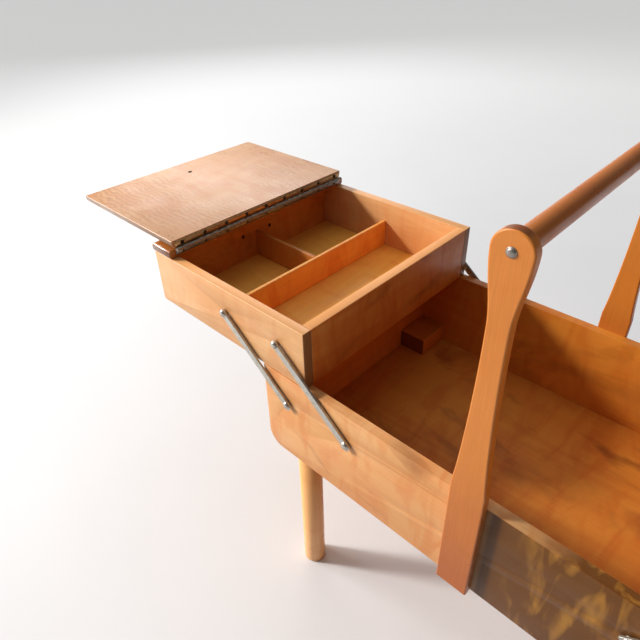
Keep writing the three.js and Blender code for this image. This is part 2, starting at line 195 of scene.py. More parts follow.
# ------------------------------------------------------------------------------ wood
PALE = (0.75, 0.42, 0.185)
ROSY = (0.67, 0.30, 0.098)
HONEY = (0.66, 0.28, 0.066)
ORANGE = (0.56, 0.175, 0.02)
AMBER = (0.47, 0.13, 0.007)
GINGER = (0.70, 0.25, 0.03)
GINGER_PALE = (0.70, 0.26, 0.03)
# STRAW and APRICOT are brightened colours: painted light for the tray's floor and long divider.
STRAW = (0.97, 0.53, 0.085)
STRAW_DEEP = (0.90, 0.44, 0.07)
APRICOT = (0.98, 0.45, 0.08)
APRICOT_DEEP = (0.82, 0.31, 0.055)
BLOND = (0.96, 0.51, 0.19)
BLOND_DEEP = (0.84, 0.41, 0.14)
RED_ORANGE = (0.62, 0.205, 0.033)
TAN = (0.71, 0.41, 0.20)
TAN_DEEP = (0.625, 0.31, 0.125)
BROWN = (0.46, 0.155, 0.03)
RED_BROWN = (0.30, 0.085, 0.015)
# Painted light on faces that look up.
PAINTED_TOP_LIGHT = (0.92, 0.43, 0.15)
# Painted shade on the front panel right of the handle: its dark brown, and the flames as seen in that
# shade.
PAINTED_SHADE_BROWN = (0.115, 0.037, 0.003)
FLAME_IN_PAINTED_SHADE = (0.36, 0.155, 0.018)
# A painted shadow of the upright, in a dark band beside it on the front panel.
PAINTED_UPRIGHT_SHADOW = (0.03, 0.011, 0.003)

PLY_PAIR = 3.2 * MM  # one dark and one light ply together
EDGE_WEAR = 1.2 * MM  # how far the rubbed varnish reaches from an edge
GRAIN_CONTOURS = 92.0  # how densely the grain lines are drawn round the noise that shapes them


def grain_lines(shade, grain, seed):
    """Contour lines of a noise drawn out along the grain, as on a flat-sawn board."""
    field = shade.noise(shade.stretched(seed, grain_scale(grain, 0.16)), scale=6.5, roughness=0.45,
                        distortion=0.35)
    waves = shade.math("SINE", shade.times(field, GRAIN_CONTOURS))
    return shade.remap(waves, -1.0, 1.0)


def knotty(shade, colour, red, grain, seed, strength):
    """Dark smudges and small knots."""
    spots = shade.noise(shade.stretched(seed + 9.4, grain_scale(grain, 0.5)), scale=11.0, detail=3.0,
                        roughness=0.6, distortion=2.2)
    return shade.mix(shade.remap(spots, 0.54, 0.72, 0.0, strength), colour, shaded(red, 0.35))


def rippled(shade, colour, deep, grain, seed, strength):
    """Fine curly figure, in patches."""
    patches = shade.noise(shade.stretched(seed + 1.4), scale=12.0)
    amount = shade.times(shade.remap(patches, 0.4, 0.6), strength)
    ripple = shade.ripples(grain, seed + 6.6)
    return shade.mix(shade.times(ripple, amount), colour, tinted(deep, (0.78, 0.66, 0.55)))


def flames_in_painted_shade(shade, colour, seed, strength):
    """Painted shade with the wood's own upright amber flames, on the front panel right of the handle.

    It starts behind the upright, at x = 0, and fades out before the panel's end. The outer face
    and the upper rim have it, and the inner face doesn't.
    """
    x = shade.position("X")
    wander = shade.noise(shade.stretched(seed + 4.2, (1.0, 1.0, 0.4)), scale=14.0)
    edge = shade.math("ADD", x, shade.remap(wander, 0.3, 0.7, -20 * MM, 20 * MM))
    fade = shade.remap(edge, 170 * MM, 110 * MM)
    on_face = shade.times(shade.remap(x, 6 * MM, 18 * MM), fade)
    on_rim = shade.times(shade.remap(x, 20 * MM, 75 * MM), fade)
    up = shade.remap(shade.normal("Z"), 0.5, 0.8)
    front = shade.remap(shade.normal("Y"), -0.5, -0.8)
    mask = shade.math("ADD", shade.times(on_rim, up), shade.times(on_face, front))
    flames = shade.noise(shade.stretched(seed + 8.1, (1.0, 1.0, 0.24)), scale=80.0, distortion=0.7)
    streaks = shade.times(shade.remap(flames, 0.5, 0.7), shade.remap(x, 28 * MM, 60 * MM))
    # The dark body is painted shade. The streaks are the wood's own flame figure, darkened as if in shade.
    body = shade.mix(streaks, PAINTED_SHADE_BROWN, FLAME_IN_PAINTED_SHADE)
    # corner: a painted shadow of the upright, a dark band just to its right.
    corner = shade.times(shade.remap(x, 27 * MM, 15 * MM), 0.8)
    body = shade.mix(corner, body, PAINTED_UPRIGHT_SHADOW)
    return shade.mix(shade.times(mask, strength), colour, body)


def painted_shade_foot(shade, colour, strength):
    """Painted shade: darker towards the foot of an upright board, over the height of the box."""
    toned = shade.mix(1.0, colour, (0.62, 0.42, 0.3), "MULTIPLY")
    return shade.mix(shade.remap(shade.position("Z"), 340 * MM, 220 * MM, 0.0, strength), colour, toned)


def with_end_grain(shade, colour, pale, deep, grain, layers):
    """Dark end grain where the board is cut across, with plies if it is plywood."""
    end = shade.remap(shade.math("ABSOLUTE", shade.normal(grain)), 0.75, 0.9)
    end_colour = tinted(deep, (0.3, 0.22, 0.15))
    if layers:
        plies = shade.math("SINE", shade.times(shade.position(layers), 2.0 * math.pi / PLY_PAIR))
        end_colour = shade.mix(shade.remap(plies, -0.2, 0.6, 0.15, 0.9), shaded(pale, 0.24), end_colour)
    return shade.mix(shade.times(end, 0.85), colour, end_colour)


def wood(name, pale, deep, grain, figure, seed, gloss=0.36, layers=None, knots=0.0, coat=0.3,
         specular=0.5, ripple=0.0, right_painted_shade=0.0, foot_shade=0.0, rim=0.0):
    """Varnished wood: grain lines and curl, fibres, blotches, worn edges, and dark end grain.

    grain is the axis that the fibres follow. figure is how strong the grain lines and curl are.
    gloss is the varnish's roughness: the lower, the shinier.
    layers names the thickness axis of plywood, whose plies show on the ends of the board.
    ripple is fine curly figure. right_painted_shade sets the painted shade right of the middle, flames and
    all.
    foot_shade is how much painted shade darkens an upright board towards its foot. rim is how much paler
    the faces that look up are: painted light from above.
    """
    shade = Shade(name)
    red = tinted(deep, (0.92, 0.62, 0.42))
    curl = shade.noise(shade.stretched(seed + 3.1, grain_scale(grain, 1.0, 0.3)), scale=52.0, detail=3.0,
                       distortion=1.1)
    fibres = shade.noise(shade.stretched(seed + 5.3, grain_scale(grain, 0.03)), scale=800.0, roughness=0.6)
    blotch = shade.noise(shade.stretched(seed + 7.7), scale=7.0, distortion=0.4)

    colour = shade.mix(shade.remap(blotch, 0.36, 0.66, 0.05, 0.75), pale, deep)
    colour = shade.mix(shade.times(grain_lines(shade, grain, seed), 0.3 * figure), colour, red)
    colour = shade.mix(shade.remap(curl, 0.46, 0.66, 0.0, 0.6 * figure), colour, red)
    if knots:
        colour = knotty(shade, colour, red, grain, seed, knots)
    if ripple:
        colour = rippled(shade, colour, deep, grain, seed, ripple)
    if right_painted_shade:
        colour = flames_in_painted_shade(shade, colour, seed, right_painted_shade)
    if foot_shade:
        colour = painted_shade_foot(shade, colour, foot_shade)
    colour = shade.scaled(colour, shade.remap(fibres, 0.25, 0.75, 0.9, 1.05))
    colour = with_end_grain(shade, colour, pale, deep, grain, layers)
    # Paler on faces that look up: painted light from above.
    if rim:
        colour = shade.mix(shade.remap(shade.normal("Z"), 0.7, 0.9, 0.0, rim), colour, PAINTED_TOP_LIGHT)
    wear = shade.times(shade.edge_mask(EDGE_WEAR, 5.0), shade.remap(blotch, 0.4, 0.6, 0.15, 0.6))
    shade.set("Base Color", shade.mix(wear, colour, tinted(deep, (0.8, 0.62, 0.5))))

    handled = shade.noise(shade.stretched(seed + 2.2), scale=38.0, detail=4.0, roughness=0.65)
    shade.set("Roughness", shade.remap(handled, 0.3, 0.7, gloss - 0.08, gloss + 0.14))
    shade.shader.inputs["Specular IOR Level"].default_value = specular
    shade.shader.inputs["Coat Weight"].default_value = coat
    shade.shader.inputs["Coat Roughness"].default_value = 0.26
    shade.bump(shade.math("ADD", fibres, shade.times(curl, 0.5)), strength=0.08, distance=0.4 * MM)
    return shade.material


MATERIALS = {
    # panel_front: the patch right of the handle is painted shade, with the wood's flames in it.
    "panel_front": wood("panel_front", PALE, ROSY, "X", 0.8, 0.3, knots=0.55, right_painted_shade=0.95, coat=0.0,
                        specular=0.22),
    # panel_back, box_end and box_floor are deeper and more saturated than panel_front: painted shade for
    # the inside of the box.
    "panel_back": wood("panel_back", GINGER, ORANGE, "X", 0.7, 4.1, knots=0.4, coat=0.15),
    "box_end": wood("box_end", GINGER, ORANGE, "Y", 0.6, 2.6, coat=0.15),
    "box_floor": wood("box_floor", GINGER_PALE, ORANGE, "X", 0.9, 6.2, gloss=0.52, knots=0.7, coat=0.0,
                      specular=0.35),
    "tray_wall": wood("tray_wall", PALE, ROSY, "X", 0.45, 1.1, layers="Y", coat=0.12, specular=0.35,
                      rim=0.6),
    # tray_end is deeper and more saturated than tray_wall: painted shade.
    "tray_end": wood("tray_end", HONEY, ORANGE, "Y", 0.8, 8.4, knots=0.6, coat=0.05, specular=0.35,
                     rim=0.65),
    # tray_floor and divider are brighter than the rest of the tray's wood: painted light, for light
    # bounced into the inner compartment.
    "tray_floor": wood("tray_floor", STRAW, STRAW_DEEP, "Y", 0.6, 3.7, gloss=0.52, coat=0.05),
    "divider": wood("divider", APRICOT, APRICOT_DEEP, "Y", 0.9, 5.5, gloss=0.42, coat=0.1),
    "short_divider": wood("short_divider", HONEY, ORANGE, "X", 0.7, 9.1, gloss=0.42, coat=0.1),
    "lid": wood("lid", TAN, TAN_DEEP, "Y", 0.7, 7.3, gloss=0.3, layers="Z", ripple=0.85),
    "batten": wood("batten", BROWN, RED_BROWN, "Y", 0.6, 2.9, gloss=0.2),
    "block": wood("block", ORANGE, AMBER, "Y", 0.5, 0.9, gloss=0.46, coat=0.1),
    "turned": wood("turned", BLOND, BLOND_DEEP, "Z", 0.35, 4.7, gloss=0.32),
    # upright: painted shade darkens it towards its foot.
    "upright": wood("upright", RED_ORANGE, ORANGE, "Z", 0.2, 6.6, gloss=0.34, coat=0.08, specular=0.35,
                    foot_shade=0.8),
    "rod": wood("rod", ORANGE, AMBER, "Y", 0.5, 8.8, gloss=0.3, coat=0.2),
}


# ------------------------------------------------------------------------------ metal and floor
def metal(name, clean, stained, roughness, stain, brushed="Z"):
    """Old bare metal: stains, fine scratches along one axis, and brighter edges."""
    shade = Shade(name)
    patches = shade.noise(shade.stretched(1.3), scale=160.0, detail=4.0, roughness=0.6, distortion=0.8)
    specks = shade.noise(shade.stretched(4.9), scale=900.0, detail=3.0, roughness=0.6)
    scratches = shade.noise(shade.stretched(2.7, grain_scale(brushed, 0.06)), scale=2600.0, roughness=0.6)
    mask = shade.remap(patches, 0.42, 0.66, 0.0, stain)
    colour = shade.mix(mask, clean, stained)
    colour = shade.mix(shade.remap(specks, 0.6, 0.72, 0.0, 0.3), colour, shaded(stained, 0.4))
    rubbed = tuple(min(1.0, c) for c in shaded(clean, 1.35))
    shade.set("Base Color", shade.mix(shade.edge_mask(0.5 * MM, 2.0), colour, rubbed))
    shade.set("Metallic", shade.remap(mask, 0.0, 1.0, 1.0, 0.72))
    rough = shade.math("ADD", shade.remap(scratches, 0.3, 0.7, -0.06, 0.08), roughness)
    shade.set("Roughness", shade.math("ADD", rough, shade.times(mask, 0.22)))
    shade.bump(shade.math("ADD", scratches, specks), strength=0.15, distance=0.1 * MM)
    return shade.material


STEEL = metal("steel", (0.55, 0.53, 0.48), (0.31, 0.26, 0.19), 0.36, 0.5, "X")
LEAF_BRONZE = metal("leaf_bronze", (0.72, 0.40, 0.17), (0.30, 0.13, 0.04), 0.42, 0.6, "Y")
KNUCKLE_STEEL = metal("knuckle_steel", (0.42, 0.39, 0.35), (0.13, 0.10, 0.07), 0.36, 0.45, "Y")
OLD_STEEL = metal("old_steel", (0.34, 0.31, 0.28), (0.14, 0.11, 0.09), 0.3, 0.6)
DARK_METAL = metal("dark_metal", (0.16, 0.13, 0.11), (0.05, 0.035, 0.03), 0.42, 0.7)
BRIGHT_METAL = metal("bright_metal", (0.54, 0.50, 0.44), (0.18, 0.13, 0.09), 0.25, 0.5)


def floor_paint():
    """Plain matt paint, a little cloudy, and paler in the distance. Distances are in metres."""
    shade = Shade("floor_paint")
    cloud = shade.noise(shade.stretched(0.4), scale=2.2, detail=3.0)
    near = shade.mix(shade.remap(cloud, 0.3, 0.7), (0.66, 0.66, 0.67), (0.70, 0.70, 0.71))
    distance = shade.nodes.new("ShaderNodeVectorMath")
    distance.operation = "LENGTH"
    shade.links.new(shade.coords.outputs["Object"], distance.inputs[0])
    far = shade.remap(distance.outputs["Value"], 0.7, 2.4)
    shade.set("Base Color", shade.mix(far, near, (0.92, 0.92, 0.92)))
    shade.shader.inputs["Specular IOR Level"].default_value = 0.1
    fine = shade.noise(shade.stretched(1.9), scale=260.0, detail=3.0, roughness=0.6)
    shade.set("Roughness", shade.remap(fine, 0.3, 0.7, 0.5, 0.62))
    shade.bump(fine, strength=0.06, distance=0.6 * MM)
    return shade.material


# ------------------------------------------------------------------------------ mesh helpers
SHARP_ANGLE = math.radians(38)  # an edge that turns by more than this is rounded
FLAT_ANGLE = math.radians(0.5)  # faces that turn by less than this become one
SAME_POINT = 0.002 * MM
ON_AXIS = 1e-4 * MM
DOME_STEPS = 7


def soften(obj, width):
    """Rounds the sharp edges, and leaves the shallow ones to smooth shading."""
    bevel = obj.modifiers.new("soft_edges", "BEVEL")
    bevel.width = width
    bevel.segments = 3
    bevel.limit_method = "ANGLE"
    bevel.angle_limit = SHARP_ANGLE
    bevel.harden_normals = True
    bevel.use_clamp_overlap = True


def shade_smooth(mesh):
    mesh.polygons.foreach_set("use_smooth", [True] * len(mesh.polygons))


def dress(node, material, edges):
    """Gives a CAD node its material and softened edges."""
    obj = NODES[node]
    obj.data.materials.clear()
    obj.data.materials.append(MATERIALS[material])
    weld = obj.modifiers.new("weld", "WELD")
    weld.merge_threshold = SAME_POINT
    flat = obj.modifiers.new("flat_faces", "DECIMATE")
    flat.decimate_type = "DISSOLVE"
    flat.angle_limit = FLAT_ANGLE
    shade_smooth(obj.data)
    soften(obj, edges)


def piece(name, bm, material, body, replaces=(), edges=0.0):
    """Turns a bmesh into a named object that rides on a body."""
    bmesh.ops.recalc_face_normals(bm, faces=bm.faces)
    mesh = bpy.data.meshes.new(name)
    bm.to_mesh(mesh)
    bm.free()
    mesh.materials.append(material)
    shade_smooth(mesh)
    obj = bpy.data.objects.new(name, mesh)
    bpy.context.scene.collection.objects.link(obj)
    if edges:
        soften(obj, edges)
    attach(obj, body)
    if replaces:
        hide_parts(*replaces)


def joined(parts):
    """One bmesh from several."""
    whole = bmesh.new()
    for part in parts:
        mesh = bpy.data.meshes.new("part")
        part.to_mesh(mesh)
        part.free()
        whole.from_mesh(mesh)
        bpy.data.meshes.remove(mesh)
    return whole


def lathe(profile, segments, closed=False):
    """A turned solid on the Z axis from (radius, height) pairs: axis to axis, or a closed ring."""
    bm = bmesh.new()
    rings = []
    for radius, height in profile:
        count = segments if radius > ON_AXIS else 1
        turn = [2.0 * math.pi * i / segments for i in range(count)]
        rings.append([bm.verts.new((radius * math.cos(a), radius * math.sin(a), height)) for a in turn])
    pairs = list(zip(rings, rings[1:]))
    if closed:
        pairs.append((rings[-1], rings[0]))
    for low, high in pairs:
        for i in range(segments):
            k = (i + 1) % segments
            corners = [low[i % len(low)], low[k % len(low)], high[k % len(high)], high[i % len(high)]]
            bm.faces.new(dict.fromkeys(corners))
    return bm


def rod(radius, half, segments):
    """A plain rod on the Z axis, with half its length on each side of the origin."""
    return lathe([(0.0, -half), (radius, -half), (radius, half), (0.0, half)], segments)


def arc(cx, cz, radius, start, end, steps=6):
    """Points of an arc, with its angles in degrees."""
    angles = [math.radians(start + (end - start) * i / steps) for i in range(steps + 1)]
    return [(cx + radius * math.cos(a), cz + radius * math.sin(a)) for a in angles]


def bezier(p0, p1, p2, p3, steps):
    """Points of a cubic curve, without its first point."""
    points = []
    for i in range(1, steps + 1):
        t = i / steps
        weights = ((1 - t) ** 3, 3 * t * (1 - t) ** 2, 3 * t * t * (1 - t), t ** 3)
        points.append(tuple(sum(w * p[k] for w, p in zip(weights, (p0, p1, p2, p3))) for k in (0, 1)))
    return points


def dome(radius, height, base):
    """Profile points of a dome, from its rim to the axis."""
    points = []
    for i in range(DOME_STEPS):
        angle = math.radians(90.0 * i / DOME_STEPS)
        points.append((radius * math.cos(angle), base + height * math.sin(angle)))
    return points + [(0.0, base + height)]


def plate(outline, y0, y1):
    """A plate from an outline in X and Z, between two values of Y."""
    bm = bmesh.new()
    near = [bm.verts.new((x, y0, z)) for x, z in outline]
    far = [bm.verts.new((x, y1, z)) for x, z in outline]
    bm.faces.new(near)
    bm.faces.new(list(reversed(far)))
    for i in range(len(outline)):
        k = (i + 1) % len(outline)
        bm.faces.new((near[i], far[i], far[k], near[k]))
    return bm


def slab(x, y, z):
    """A block from its low and high values on each axis."""
    outline = [(x[0], z[0]), (x[1], z[0]), (x[1], z[1]), (x[0], z[1])]
    return plate(outline, y[0], y[1])


def placed(bm, location, direction=(0, 0, 1)):
    """Moves a bmesh from the origin, with +Z turned to a direction."""
    turn = Vector((0, 0, 1)).rotation_difference(Vector(direction)).to_matrix().to_4x4()
    bm.transform(Matrix.Translation(location) @ turn)
    return bm


def slotted_head(radius, rise, turn):
    """A screw head on Z = 0: a low disc with two half-discs on it, which leave the slot."""
    step = 0.3 * rise
    slot = 0.17 * radius
    start = math.degrees(math.asin(slot / radius))
    parts = [lathe([(0.0, -rise), (radius, -rise), (radius, step), (0.0, step)], 28)]
    for flip in (0.0, math.pi):
        half = plate(arc(0.0, 0.0, radius * 0.98, start, 180.0 - start, 14), 0.0, rise - step)
        half.transform(Matrix.Rotation(flip + turn, 4, "Z") @ Matrix.Rotation(math.radians(90), 4, "X")
                       @ Matrix.Diagonal((1, -1, 1, 1)))
        bmesh.ops.translate(half, verts=half.verts, vec=(0, 0, step))
        parts.append(half)
    return joined(parts)


# ------------------------------------------------------------------------------ camera and light
CAMERA_AT = Vector((0.09905, -0.36544, 0.62775))
CAMERA_TO = Vector((-0.2629, 0.0, 0.28624))
CAMERA_ROLL = math.radians(-1.872)
CAMERA_LENS = 31.676
CAMERA_SHIFT = (0.0028, -0.0375)

DAYLIGHT = (1.0, 0.98, 0.95)
CEILING_LIGHT = (1.0, 0.99, 0.97)
SKYLIGHT = (0.97, 0.98, 1.0)
ROOM_FILL = (0.95, 0.97, 1.0, 1.0)
BACKDROP = (0.84, 0.84, 0.85, 1.0)
BRIGHT_SIDE = (-0.78, -0.1, 0.62)  # the direction that the room's fill comes from


def add_camera():
    data = bpy.data.cameras.new("camera")
    data.lens = CAMERA_LENS
    data.shift_x, data.shift_y = CAMERA_SHIFT
    data.clip_start = 0.01
    data.clip_end = 60.0
    camera = bpy.data.objects.new("camera", data)
    camera.location = CAMERA_AT
    aim = (CAMERA_TO - CAMERA_AT).to_track_quat("-Z", "Y")
    camera.rotation_mode = "QUATERNION"
    camera.rotation_quaternion = aim @ Quaternion((0, 0, 1), CAMERA_ROLL)
    bpy.context.scene.collection.objects.link(camera)
    bpy.context.scene.camera = camera


def hang_light(name, data, location, direction):
    light = bpy.data.objects.new(name, data)
    light.location = location
    light.rotation_mode = "QUATERNION"
    light.rotation_quaternion = direction.to_track_quat("-Z", "Y")
    bpy.context.scene.collection.objects.link(light)


def area_light(name, location, target, size, energy, colour):
    data = bpy.data.lights.new(name, "AREA")
    data.shape = "RECTANGLE"
    data.size, data.size_y = size
    data.energy = energy
    data.color = colour
    hang_light(name, data, location, Vector(target) - Vector(location))


def sun_light(name, towards, strength, spread, colour):
    """A distant light from a direction, with its angular size in degrees."""
    data = bpy.data.lights.new(name, "SUN")
    data.energy = strength
    data.angle = math.radians(spread)
    data.color = colour
    hang_light(name, data, Vector(towards) * 3.0, -Vector(towards))


def add_light():
    sun_light("low_sun", (-0.72, -0.47, 0.51), 2.6, 7.0, DAYLIGHT)
    area_light("window", (-1.68, -0.82, 0.95), (-0.28, -0.05, 0.3), (0.9, 0.7), 27.0, DAYLIGHT)
    area_light("overhead", (-0.5, 0.2, 2.2), (-0.2, 0.0, 0.2), (1.5, 1.5), 3.5, CEILING_LIGHT)
    area_light("back_window", (-2.3, 1.5, 1.6), (-0.4, 0.0, 0.37), (2.0, 1.2), 16.0, SKYLIGHT)
    bpy.context.scene.view_settings.view_transform = "Standard"


def add_world():
    """A pale room, brighter towards the windows, with a plain backdrop for the camera."""
    world = bpy.data.worlds.new("room")
    world.use_nodes = True
    nodes, links = world.node_tree.nodes, world.node_tree.links
    direction = nodes.new("ShaderNodeTexCoord")
    facing = nodes.new("ShaderNodeVectorMath")
    facing.operation = "DOT_PRODUCT"
    facing.inputs[1].default_value = BRIGHT_SIDE
    links.new(direction.outputs["Generated"], facing.inputs[0])
    strength = nodes.new("ShaderNodeMapRange")
    for name, number in (("From Min", -0.4), ("From Max", 1.0), ("To Min", 0.03), ("To Max", 0.46)):
        strength.inputs[name].default_value = number
    links.new(facing.outputs["Value"], strength.inputs["Value"])
    fill = nodes["Background"]
    fill.inputs["Color"].default_value = ROOM_FILL
    links.new(strength.outputs[0], fill.inputs["Strength"])
    backdrop = nodes.new("ShaderNodeBackground")
    backdrop.inputs["Color"].default_value = BACKDROP
    rays = nodes.new("ShaderNodeLightPath")
    mix = nodes.new("ShaderNodeMixShader")
    links.new(rays.outputs["Is Camera Ray"], mix.inputs[0])
    links.new(fill.outputs[0], mix.inputs[1])
    links.new(backdrop.outputs[0], mix.inputs[2])
    links.new(mix.outputs[0], nodes["World Output"].inputs["Surface"])
    bpy.context.scene.world = world


def add_floor():
    bm = bmesh.new()
    bmesh.ops.create_grid(bm, x_segments=4, y_segments=4, size=30.0)
    mesh = bpy.data.meshes.new("floor")
    bm.to_mesh(mesh)
    bm.free()
    mesh.materials.append(floor_paint())
    floor = bpy.data.objects.new("floor", mesh)
    bpy.context.scene.collection.objects.link(floor)


# ------------------------------------------------------------------------------ flat boards
PANEL_EDGE = 1.1 * MM
BOARD_EDGE = 0.6 * MM
THIN_BOARD_EDGE = 0.7 * MM
BOTTOM_EDGE = 0.3 * MM
BLOCK_EDGE = 1.2 * MM
BATTEN_EDGE = 0.8 * MM


def dress_boards():
    dress("main_front_panel", "panel_front", PANEL_EDGE)
    dress("main_back_panel", "panel_back", PANEL_EDGE)
    dress("main_bottom_panel", "box_floor", BOTTOM_EDGE)
    for label, _ in SIDES:
        dress(f"main_{label}_end", "box_end", BOARD_EDGE)
        for place, _ in FACES:
            dress(f"corner_block_{label}_{place}", "block", BLOCK_EDGE)
            dress(f"{label}_tray_{place}_wall", "tray_wall", THIN_BOARD_EDGE)
        dress(f"{label}_tray_inner_end", "tray_end", BOARD_EDGE)
        dress(f"{label}_tray_outer_end", "tray_end", BOARD_EDGE)
        dress(f"{label}_tray_bottom", "tray_floor", BOTTOM_EDGE)
        dress(f"{label}_tray_long_divider", "divider", THIN_BOARD_EDGE)
        dress(f"{label}_tray_short_divider", "short_divider", THIN_BOARD_EDGE)
        dress(f"{label}_hinge_batten", "batten", BATTEN_EDGE)
        dress(f"{label}_lid", "lid", THIN_BOARD_EDGE)


# ------------------------------------------------------------------------------ legs and handle
FOOT_ROUNDING = 1.6 * MM
UPRIGHT_EDGE = 1.3 * MM
ROD_EDGE = 0.4 * MM


def add_leg(node):
    low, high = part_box(node)
    centre = (low + high) / 2
    radius = (high.x - low.x) / 2
    foot = arc(radius - FOOT_ROUNDING, FOOT_ROUNDING, FOOT_ROUNDING, -90, 0)
    bm = placed(lathe([(0.0, 0.0), *foot, (radius, high.z), (0.0, high.z)], 72), (centre.x, centre.y, 0.0))
    piece(f"{node}_turned", bm, MATERIALS["turned"], "main_box", [node])


def upright_outline(low, high):
    """Parallel below the shoulder, then a long taper to the neck and a round head."""
    half_width = (high.x - low.x) / 2
    half_neck = 7.1 * MM
    head_radius = 12.2 * MM
    head = high.z - head_radius
    shoulder = low.z + 113 * MM
    neck_low = head - 57 * MM
    neck_high = head - 47 * MM
    bow = (neck_low - shoulder) / 3
    flare = (head - neck_high) / 3
    corner = 1.5 * MM
    side = arc(half_width - corner, low.z + corner, corner, -90, 0, 4)
    side.append((half_width, shoulder))
    side += bezier((half_width, shoulder), ((half_width + half_neck) / 2, shoulder + bow / 2),
                   (half_neck, neck_low - bow), (half_neck, neck_low), 20)
    side.append((half_neck, neck_high))
    side += bezier((half_neck, neck_high), (half_neck, neck_high + flare),
                   (head_radius, head - flare), (head_radius, head), 12)
    crown = arc(0.0, head, head_radius, 0, 180, 32)[1:-1]
    return side + crown + [(-x, z) for x, z in reversed(side)]


def add_rod_screw(place, face, surface):
    """A domed head on a flat washer, and the shank that runs into the rod."""
    node = f"rod_screw_{place}"
    low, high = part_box(node)
    tip = 2 * MM - (high.y - low.y)
    shank = 1.6 * MM
    washer = 3.1 * MM
    profile = [(0.0, tip), (shank, tip), (shank, 0.0), (washer, 0.0), (washer, 0.25 * MM),
               (2.7 * MM, 0.4 * MM), *dome(2.6 * MM, 1.2 * MM, 0.4 * MM)]
    centre = Vector(((low.x + high.x) / 2, surface, (low.z + high.z) / 2))
    bm = placed(lathe(profile, 36), centre, (0, face, 0))
    piece(f"{node}_domed", bm, OLD_STEEL, "main_box", [node])


def add_handle():
    for place, face in FACES:
        node = f"handle_upright_{place}"
        low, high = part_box(node)
        board = plate(upright_outline(low, high), low.y, high.y)
        piece(f"{node}_shaped", board, MATERIALS["upright"], "main_box", [node],
              UPRIGHT_EDGE)
        add_rod_screw(place, face, high.y if face > 0 else low.y)
    low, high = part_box("handle_rod")
    bar = placed(rod((high.z - low.z) / 2, (high.y - low.y) / 2, 64), (low + high) / 2, (0, 1, 0))
    piece("handle_rod_turned", bar, MATERIALS["rod"], "main_box", ["handle_rod"], ROD_EDGE)


# ------------------------------------------------------------------------------ arms and pivots
ARM_HALF_WIDTH = 3.6 * MM
ARM_THICKNESS = 2.0 * MM
ARM_TAIL = 5.0 * MM  # how far the strip runs past the lower pivot
ARM_CORNER = 1.2 * MM
ARM_EDGE = 0.3 * MM
HEAD_HEIGHT = 1.9 * MM
HEAD_RIM = 0.3 * MM  # the head's upright edge, under the dome
HEAD_FOOT_RADIUS = 3.5 * MM
HEAD_RADIUS = 3.6 * MM
DOME_RADIUS = 3.3 * MM
SHANK = 1.5 * MM
COLLAR = 3.0 * MM
BOX_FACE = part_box("main_back_panel")[1].y
TRAY_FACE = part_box("left_tray_back_wall")[1].y


def arm_outline(lower, upper):
    """A strip past both pivots, round at the top and nearly square at the bottom."""
    along = (upper - lower).normalized()
    up = Vector((-along.z, 0, along.x))
    reach = (upper - lower).length
    back, edge = ARM_CORNER - ARM_TAIL, ARM_HALF_WIDTH - ARM_CORNER
    local = arc(reach, 0.0, ARM_HALF_WIDTH, -90, 90, 18)
    local += arc(back, edge, ARM_CORNER, 90, 180, 5)
    local += arc(back, -edge, ARM_CORNER, 180, 270, 5)
    points = [lower + along * a + up * b for a, b in local]
    return [(p.x, p.z) for p in points]


def pivot_pin(depth, board, collar_gap, play):
    """A shank, a spacing collar between arm and board, and a domed head, turned on the Z axis.

    Z = 0 is the arm's outer face. board is how far the board's face lies behind it, collar_gap
    is left between the board and the collar, and play on both sides of the arm.
    """
    collar_base = collar_gap - board
    collar_top = -ARM_THICKNESS - play
    dome_base = play + 0.4 * MM
    profile = [(0.0, -depth), (SHANK, -depth), (SHANK, collar_base), (COLLAR, collar_base),
               (COLLAR, collar_top), (SHANK, collar_top), (SHANK, play), (HEAD_FOOT_RADIUS, play),
               (HEAD_RADIUS, play + HEAD_RIM), *dome(DOME_RADIUS, 1.5 * MM, dome_base)]
    return lathe(profile, 36)


def add_arm(label, place, face, row, reach):
    """The strip, the stud fast in its upper end, and the rivet that holds it to the box."""
    name = f"{label}_{place}_{row}"
    node = f"{name}_arm"
    low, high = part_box(node)
    lower = Vector(JOINTS[f"{name}_swing"]["pos_m"])
    upper = lower + reach
    outward = Vector((0, face, 0))
    outer = (high.y if face > 0 else low.y) - face * HEAD_HEIGHT
    inner = outer - face * ARM_THICKNESS
    strip = plate(arm_outline(lower, upper), min(outer, inner), max(outer, inner))
    piece(f"{node}_strip", strip, STEEL, node, [node], ARM_EDGE)
    depth = abs(outer) - (low.y if face > 0 else -high.y)
    stud = pivot_pin(depth, abs(outer) - TRAY_FACE, 0.3 * MM, 0.0)
    stud = placed(stud, (upper.x, outer, upper.z), outward)
    piece(f"{name}_upper_stud", stud, BRIGHT_METAL, node)
    rivet = pivot_pin(depth, abs(outer) - BOX_FACE, 0.1 * MM, 0.1 * MM)
    rivet = placed(rivet, (lower.x, outer, lower.z), outward)
    piece(f"{name}_rivet_domed", rivet, BRIGHT_METAL, "main_box", [f"{name}_rivet"])


def add_arms():
    for label, _ in SIDES:
        level = Vector(JOINTS[f"{label}_tray_level"]["pos_m"])
        reach = level - Vector(JOINTS[f"{label}_front_inner_swing"]["pos_m"])
        for place, face in FACES:
            for row in ROWS:
                add_arm(label, place, face, row, reach)


# ------------------------------------------------------------------------------ hinges
HINGE_SCREWS = 9
SCREW_INSET = 8 * MM  # from the hinge's end to its first screw
SCREW_RISE = 0.35 * MM
KNUCKLES = 27
KNUCKLE_RADIUS = 1.9 * MM
KNUCKLE_BORE = 0.95 * MM
KNUCKLE_RIM = 0.18 * MM
KNUCKLE_GAP = 0.08 * MM  # at each end of a knuckle
PIN_RADIUS = 0.85 * MM
LEAF_THICKNESS = 1.0 * MM
LEAF_NEAR = 2.1 * MM  # from the pin's centre to the strip
LEAF_ROOT = 0.6 * MM  # where a knuckle's tongue starts, inside its barrel
LEAF_LAP = 0.1 * MM

